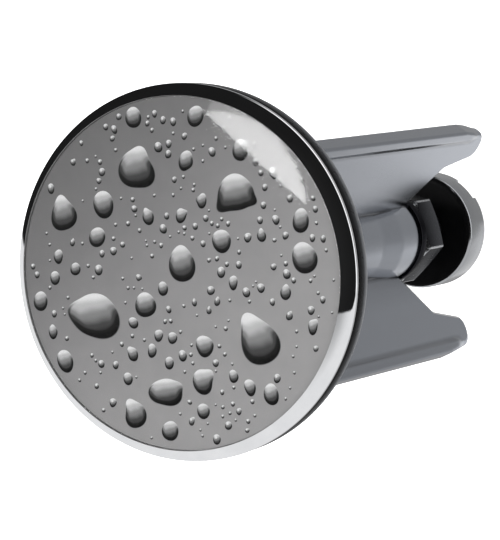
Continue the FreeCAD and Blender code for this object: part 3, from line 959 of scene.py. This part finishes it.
nut = hexagon_nut("hexagon_nut", -47.9, -52.9, 10.0, 22.0, 3.04)
stand_for(nut, "lock_nut", "nut", nut_black)
nut.data.materials.append(nut_edge_highlight)
for face in nut.data.polygons:
    # the rounded corners and the chamfers take the brighter copy of the metal: painted highlight
    flat_wall = any(
        face.normal.dot(Vector((math.cos(a), math.sin(a), 0.0))) > 0.999
        for a in [math.radians(22.0 + 60 * k) for k in range(6)]
    )
    outside = Vector(face.center[:2]).length > 3.4 * MM
    if outside and not flat_wall and abs(face.normal.z) < 0.97:
        face.material_index = 1

# ------------------------------------------------------------------------ foot
def cut_or_join(obj, others, how):
    """Joins solids into one skin, or cuts some out of the first."""
    for other in others:
        step = obj.modifiers.new("step", "BOOLEAN")
        step.operation = how
        step.solver = "EXACT"
        step.object = other
    graph = bpy.context.evaluated_depsgraph_get()
    made = bpy.data.meshes.new_from_object(obj.evaluated_get(graph))
    old = obj.data
    obj.modifiers.clear()
    obj.data = made
    made.name = obj.name
    bpy.data.meshes.remove(old)
    for other in others:
        mesh = other.data
        bpy.data.objects.remove(other)
        bpy.data.meshes.remove(mesh)
    for face in made.polygons:
        face.use_smooth = True
        face.material_index = 0


def soft_edges(obj, width, steps, angle, normals=True):
    if width:
        edge = obj.modifiers.new("edges", "BEVEL")
        edge.width = width * MM
        edge.segments = steps
        edge.limit_method = "ANGLE"
        edge.angle_limit = math.radians(angle)
        edge.use_clamp_overlap = True
        edge.harden_normals = False
    if normals:
        even = obj.modifiers.new("even", "WEIGHTED_NORMAL")
        even.keep_sharp = True
        even.weight = 80


foot = lathe(
    "slotted_foot",
    soften(
        [(0.0, -60.4), (0.0, -62.4), (6.9, -62.4), (6.9, -57.4), (3.05, -57.4), (3.05, -60.4)],
        {2: 0.7, 3: 0.7, 4: 0.3},
        8,
    ),
    turns=192,
    closed=False,
)
bm = bmesh.new()
bmesh.ops.create_cube(bm, size=1.0)
bmesh.ops.scale(bm, vec=(16.0, 3.0, 2.6), verts=bm.verts)
bmesh.ops.rotate(bm, matrix=Matrix.Rotation(math.radians(171.5), 3, "Z"), verts=bm.verts)
bmesh.ops.translate(bm, vec=(0, 0, -62.4), verts=bm.verts)
slot_cutter = new_object("slot_cutter", bm)
cut_or_join(foot, [slot_cutter], "DIFFERENCE")
foot.data.set_sharp_from_angle(angle=math.radians(32))
stand_for(foot, "screw_foot", "foot", foot_satin)
foot.data.materials.append(foot_face_black)
for face in foot.data.polygons:
    if face.normal.z > 0.7 and face.center.z > -57.0 * MM - 1.4 * MM:
        face.material_index = 1

# ----------------------------------------------------------------------- guide
WING = soften(
    [
        (4.2, -0.6), (4.2, -44.51), (10.1, -50.6), (11.5, -57.8), (14.85, -57.8),
        (15.6, -50.4), (15.6, -0.6),
    ],
    {2: 1.6, 3: 1.4, 4: 2.3, 5: 9.0},
    12,
)
HALF, EDGE_R, ROOT_R = 0.8, 0.6, 0.15
BEAD_HALF, BEAD_R, BEAD_IN, BEAD_FOOT = 1.05, 0.4, 1.1, 1.75


def smooth01(a, b, x):
    t = max(0.0, min(1.0, (x - a) / (b - a)))
    return t * t * (3 - 2 * t)


def resample(points, spacing):
    out = []
    n = len(points)
    for i in range(n):
        a, b = Vector(points[i]), Vector(points[(i + 1) % n])
        steps = max(1, int(round((b - a).length / spacing)))
        for k in range(steps):
            out.append(a + (b - a) * (k / steps))
    return out


def plate(r):
    """Half thickness away from any edge: the plate, flared into the stem."""
    gap = r - 4.8
    if gap >= ROOT_R:
        return HALF
    gap = max(gap, 0.0)
    return HALF + ROOT_R - math.sqrt(max(0.0, ROOT_R ** 2 - (ROOT_R - gap) ** 2))


def wing_mesh(name):
    line = resample(WING, 0.55)
    n = len(line)
    inward = []
    for i in range(n):
        run = (line[(i + 1) % n] - line[i - 1]).normalized()
        inward.append(Vector((-run.y, run.x)))
    area = sum(
        line[i].x * line[(i + 1) % n].y - line[(i + 1) % n].x * line[i].y for i in range(n)
    )
    if area < 0:
        inward = [-v for v in inward]
    # the bead runs down the outer edge and dies out before the tip
    bead = []
    for p in line:
        lean = 15.6 - 0.75 * max(0.0, -50.4 - p.y) / 7.4
        bead.append(smooth01(lean - 0.3, lean - 0.1, p.x) * smooth01(-55.2, -52.6, p.y))
    bm = bmesh.new()
    loops = []
    inner = None
    for share in (
        0.0, 0.005, 0.02, 0.045, 0.08, 0.13, 0.18, 0.23, 0.35, 0.5,
        0.6, 0.66, 0.72, 0.79, 0.86, 0.93, 1.0,
    ):
        places, halves = [], []
        for p, q, w in zip(line, inward, bead):
            plain_d = EDGE_R * min(1.0, share / 0.23)
            plain_d += 0.3 * max(0.0, share - 0.23)
            bead_d = BEAD_FOOT * share
            place = p + q * (plain_d * (1 - w) + bead_d * w)
            base = plate(place.x)
            cut = max(0.0, EDGE_R - plain_d)
            flat = base - (EDGE_R - math.sqrt(max(0.0, EDGE_R ** 2 - cut ** 2)))
            cut = max(0.0, BEAD_R - bead_d)
            top = BEAD_HALF - (BEAD_R - math.sqrt(max(0.0, BEAD_R ** 2 - cut ** 2)))
            top += (base - BEAD_HALF) * smooth01(BEAD_IN - 0.1, BEAD_FOOT, bead_d)
            halves.append(flat * (1 - w) + top * w)
            places.append(place)
        front = [bm.verts.new((p.x, -h, p.y)) for p, h in zip(places, halves)]
        back = [bm.verts.new((p.x, h, p.y)) for p, h in zip(places, halves)]
        loops.append((front, back))
        inner = places
    first_front, first_back = loops[0]
    for i in range(n):
        j = (i + 1) % n
        bm.faces.new((first_front[i], first_front[j], first_back[j], first_back[i]))
    for (fa, ba), (fb, bb) in zip(loops, loops[1:]):
        for i in range(n):
            j = (i + 1) % n
            bm.faces.new((fa[i], fa[j], fb[j], fb[i]))
            bm.faces.new((ba[i], bb[i], bb[j], ba[j]))
    # the flat of the plate, with upright lines where it flares into the stem
    points = [Vector(p) for p in inner]
    edges = [(i, (i + 1) % n) for i in range(n)]
    for r in (4.82, 4.85, 4.89, 4.95, 5.2):
        low = min(p.y for p in points if abs(p.x - r) < 0.6 and p.y < -20) + 1.0
        a = len(points)
        points += [Vector((r, -1.2)), Vector((r, low))]
        edges.append((a, a + 1))
    verts2, edges2, faces2, from2, fe2, ff2 = delaunay_2d_cdt(points, edges, [(list(range(n)))], 1, 1e-6)
    for side, sign in ((0, -1), (1, 1)):
        last = loops[-1][side]
        made = []
        for i, p in enumerate(verts2):
            ids = [k for k in from2[i] if k < n]
            if ids:
                made.append(last[ids[0]])
            else:
                made.append(bm.verts.new((p.x, sign * plate(p.x), p.y)))
        for tri in faces2:
            try:
                bm.faces.new([made[i] for i in tri])
            except ValueError:
                pass
    bmesh.ops.remove_doubles(bm, verts=bm.verts, dist=1e-5)
    bmesh.ops.recalc_face_normals(bm, faces=bm.faces)
    return new_object(name, bm, 40.0)


guide = lathe(
    "winged_guide",
    soften(
        [
            (3.05, 3.75), (3.05, -8.0), (1.6, -8.0), (1.6, -10.0), (3.3, -10.0),
            (3.3, -37.2), (4.0, -37.2), (4.0, -46.2), (5.2, -46.2), (5.2, -41.5),
            (4.8, -37.0), (4.8, -1.8), (16.8, -1.8), (16.8, 0.4), (12.0, 0.4), (12.0, 3.75),
        ],
        {0: 0.2, 7: 0.15, 8: 0.3, 9: 12.0, 10: 12.0, 11: 1.2, 12: 0.45, 13: 0.2, 15: 0.2},
        7,
    ),
    turns=180,
)
wings = []
for k in range(3):
    wing = wing_mesh("wing_%d" % k)
    wing.data.transform(Matrix.Rotation(math.radians(120 * k), 4, "Z"))
    wings.append(wing)
cut_or_join(guide, wings, "UNION")
guide.data.set_sharp_from_angle(angle=math.radians(38))
soft_edges(guide, 0, 0, 0)
stand_for(guide, "guide_body", "stopper", satin)
guide.data.materials.append(satin_wing_painted_shade)
guide.data.materials.append(wing_end_highlight)
# wing faces take the copy with painted shade; the wings' inner end faces take the brighter copy, a
# painted highlight
for face in guide.data.polygons:
    c = face.center / MM
    if c.z > -1.85 or math.hypot(c.x, c.y) < 4.81:
        continue
    for k in range(3):
        turn = math.radians(120 * k)
        out = c.x * math.cos(turn) + c.y * math.sin(turn)
        across = abs(c.y * math.cos(turn) - c.x * math.sin(turn))
        if out > 4.6 and (across < 0.99 or (out > 10.0 and across < 1.1)):
            flat = abs(face.normal.y * math.cos(turn) - face.normal.x * math.sin(turn))
            ending = c.z < -44.8 and face.normal.z < -0.05 and flat < 0.995
            ending = ending and (out < 12.0 or (out < 14.2 and c.z < -57.0))
            face.material_index = 2 if ending else 1

# ------------------------------------------------- parts that stay as they are
for node, material in (
    ("cap_screw", zinc),
    ("thread_insert", brass),
):
    obj = nodes_of[node]
    obj.data.materials.clear()
    obj.data.materials.append(material)

# ----------------------------------------------------------------------- stage
def stage_material(name, colour, emit=0.0, rough=0.9):
    t = Tree(name)
    if emit:
        node = t.add("Emission")
        node.inputs["Color"].default_value = colour
        node.inputs["Strength"].default_value = emit
        t.link(node.outputs["Emission"], t.out.inputs["Surface"])
    else:
        t.principled(Base_Color=colour, Roughness=rough, Specular_IOR_Level=0.0)
    return t.material


def only(obj, *rays):
    for kind in ("camera", "diffuse", "glossy", "transmission", "volume_scatter", "shadow"):
        setattr(obj, "visible_" + kind, kind in rays)


FLOOR = -0.0690
bm = bmesh.new()
bmesh.ops.create_circle(bm, cap_ends=True, segments=96, radius=2.4)
mesh = bpy.data.meshes.new("floor")
bm.to_mesh(mesh)
bm.free()
floor = bpy.data.objects.new("floor", mesh)
scene.collection.objects.link(floor)
floor.location.z = FLOOR
floor_tree = Tree("floor_white")
floor_tree.principled(
    Base_Color=(0.9, 0.9, 0.9, 1),
    Roughness=0.9,
    Specular_IOR_Level=0.0,
    Emission_Color=(1, 1, 1, 1),
    Emission_Strength=1.0,
)
mesh.materials.append(floor_tree.material)
only(floor, "camera", "diffuse", "transmission", "shadow")
bm = bmesh.new()
bmesh.ops.create_icosphere(bm, subdivisions=5, radius=2.4)
mesh = bpy.data.meshes.new("backdrop")
bm.to_mesh(mesh)
bm.free()
backdrop = bpy.data.objects.new("backdrop", mesh)
scene.collection.objects.link(backdrop)
mesh.materials.append(stage_material("backdrop_white", (1, 1, 1, 1), emit=1.05))
only(backdrop, "camera")


def card(name, centre, aim, width, height, strength, roll=0.0):
    """A glowing card that only shows in reflections."""
    mesh = bpy.data.meshes.new(name)
    w, h = width / 2, height / 2
    mesh.from_pydata([(-w, -h, 0), (w, -h, 0), (w, h, 0), (-w, h, 0)], [], [(0, 1, 2, 3)])
    obj = bpy.data.objects.new(name, mesh)
    scene.collection.objects.link(obj)
    look = (Vector(aim) - Vector(centre)).normalized()
    turn = look.to_track_quat("Z", "Y") @ Matrix.Rotation(roll, 3, "Z").to_quaternion()
    obj.matrix_world = Matrix.LocRotScale(Vector(centre), turn, None)
    mesh.materials.append(stage_material(name + "_glow", (1, 1, 1, 1), emit=strength))
    only(obj, "glossy")
    return obj


# The tall softbox whose straight edge shows as the gloss along the dome's edge.
BOX_EDGE = Vector((-0.196, 0.320, 0.927)).normalized()
side = Vector((math.cos(math.radians(-5)), math.sin(math.radians(-5)), 0.0))
side = (side - BOX_EDGE * side.dot(BOX_EDGE)).normalized()
box_width = 0.22
spot = Vector((0.0155, -0.0014, 0.005)) + BOX_EDGE * 0.6 + side * (box_width / 2)
softbox = card("softbox", spot, (0.0155, -0.0014, 0.005), box_width, 0.5, 11.0)
# turn the card so that its long edge lies across the direction it opens to
z_axis = (Vector((0.0155, -0.0014, 0.005)) - spot).normalized()
x_axis = (side - z_axis * side.dot(z_axis)).normalized()
y_axis = z_axis.cross(x_axis)
softbox.matrix_world = Matrix.Translation(spot) @ Matrix(
    (
        (x_axis.x, y_axis.x, z_axis.x),
        (x_axis.y, y_axis.y, z_axis.y),
        (x_axis.z, y_axis.z, z_axis.z),
    )
).to_4x4()
# Its near part is a half-round window with a dimmer pane behind one side, and a
# dark bar divides that from the rest of the box.
bow = [math.radians(-46.8 + 93.6 * k / 32) for k in range(33)]
panes = [(-0.1569 + 0.0754 * math.cos(a), -0.007 + 0.0754 * math.sin(a), 0.0) for a in bow]
panes += [(-0.078, -0.25, 0.0), (0.11, -0.25, 0.0), (0.11, 0.25, 0.0), (-0.078, 0.25, 0.0)]
panes += [
    (-0.1045, -0.0625, -0.002), (-0.0785, -0.0625, -0.002),
    (-0.0785, 0.004, -0.002), (-0.1045, 0.004, -0.002),
]
softbox.data.clear_geometry()
softbox.data.from_pydata(panes, [], [range(33), range(33, 37), range(37, 41)])
softbox.data.materials.append(stage_material("softbox_dim", (1, 1, 1, 1), emit=2.6))
softbox.data.polygons[2].material_index = 1
# A low card beyond the wing's end, which lights the wing towards its tip.
low_card = card("low_card", (-0.0115, -0.026, -0.129), (0.0125, 0.0, -0.0575), 0.05, 0.05, 0.82)
glow = Tree("low_card_fade")
node = glow.add("VectorMath", operation="DOT_PRODUCT")
glow.link(glow.add("NewGeometry").outputs["Position"], node.inputs[0])
node.inputs[1].default_value = (0.6, 0.8, 0.0)
fade = glow.ranged(node.outputs["Value"], -0.050, -0.028, 0.49, 0.95)
node = glow.add("Emission")
glow.link(fade, node.inputs["Strength"])
glow.link(node.outputs["Emission"], glow.out.inputs["Surface"])
low_card.data.materials[0] = glow.material


def lamp(name, place, aim, size, power):
    light = bpy.data.lights.new(name, "AREA")
    light.shape = "DISK"
    light.size = size
    light.energy = power
    obj = bpy.data.objects.new(name, light)
    scene.collection.objects.link(obj)
    look = Vector(aim) - Vector(place)
    obj.matrix_world = Matrix.LocRotScale(
        Vector(place), look.to_track_quat("-Z", "Y"), None
    )
    obj.visible_glossy = False
    obj.visible_camera = False
    return obj


lamp("overhead", (-0.10, 0.05, 0.75), (0, 0, -0.03), 0.9, 7.5)
lamp("front_fill", (0.50, -0.55, 0.40), (0, 0, -0.03), 0.6, 3.0)

# The room: a bright side, a dark side, a dark ceiling and a grey floor, which
# the polished faces pick up.
world = bpy.data.worlds.new("room")
scene.world = world
world.use_nodes = True
wt = world.node_tree
wt.nodes.clear()


def wnode(kind, **settings):
    node = wt.nodes.new("ShaderNode" + kind)
    for key, value in settings.items():
        setattr(node, key, value)
    return node


def wput(socket, value):
    if hasattr(value, "is_output"):
        wt.links.new(value, socket)
    else:
        socket.default_value = value


def wrange(value, a, b, c, d):
    node = wnode("MapRange", interpolation_type="SMOOTHSTEP")
    wput(node.inputs["Value"], value)
    for key, v in (("From Min", a), ("From Max", b), ("To Min", c), ("To Max", d)):
        wput(node.inputs[key], v)
    return node.outputs["Result"]


def wmath(how, a, b):
    node = wnode("Math", operation=how)
    wput(node.inputs[0], a)
    wput(node.inputs[1], b)
    return node.outputs[0]


def wdot(vector, axis):
    node = wnode("VectorMath", operation="DOT_PRODUCT")
    wput(node.inputs[0], vector)
    node.inputs[1].default_value = axis
    return node.outputs["Value"]


def wblend(factor, a, b):
    node = wnode("Mix", data_type="FLOAT")
    wput(node.inputs[0], factor)
    wput(node.inputs[2], a)
    wput(node.inputs[3], b)
    return node.outputs[0]


direction = wnode("TexCoord").outputs["Generated"]
split = wdot(direction, (-0.8592, -0.4822, -0.1709))
level = wdot(direction, (0.0, 0.0, 1.0))
bright = wrange(split, 0.168, 0.188, 0.0, 1.0)
# a strip of lit table, low on the camera's side
strip = wmath("MULTIPLY", wrange(level, -0.36, -0.28, 1.0, 0.0), wrange(level, -0.74, -0.64, 0.0, 1.0))
strip = wmath("MULTIPLY", strip, wrange(wdot(direction, (0.766, -0.643, 0.0)), 0.1, 0.4, 0.0, 1.0))
dark = wblend(strip, 0.012, 1.3)
room = wblend(bright, dark, 0.86)
# straight below: grey, lighter to one side
below = wrange(wdot(direction, (-0.574, -0.819, 0.0)), 0.08, 0.46, 0.40, 0.48)
room = wblend(wrange(level, -0.80, -0.74, 1.0, 0.0), room, below)
ceiling = wrange(level, 0.3, 0.6, 0.0, 1.0)
room = wblend(ceiling, room, 0.02)
back = wnode("Background")
wput(back.inputs["Strength"], room)
back.inputs["Color"].default_value = (1.0, 1.0, 1.0, 1.0)
sky_out = wnode("OutputWorld")
wt.links.new(back.outputs["Background"], sky_out.inputs["Surface"])

scene.view_settings.view_transform = "Standard"
scene.view_settings.look = "None"

# ---------------------------------------------------------------------- camera
lens = bpy.data.cameras.new("camera")
lens.lens = 236.4
lens.sensor_width = 36.0
lens.sensor_fit = "AUTO"
lens.clip_start = 0.01
lens.clip_end = 20.0
camera = bpy.data.objects.new("camera", lens)
scene.collection.objects.link(camera)
right = Vector((0.49897, -0.74376, -0.44485))
up = Vector((0.80435, 0.58853, -0.08177))
back_axis = Vector((0.32263, -0.31702, 0.89186))
camera.matrix_world = Matrix(
    (
        (right.x, up.x, back_axis.x, 0.124125),
        (right.y, up.y, back_axis.y, -0.123308),
        (right.z, up.z, back_axis.z, 0.333362),
        (0, 0, 0, 1),
    )
)
scene.camera = camera
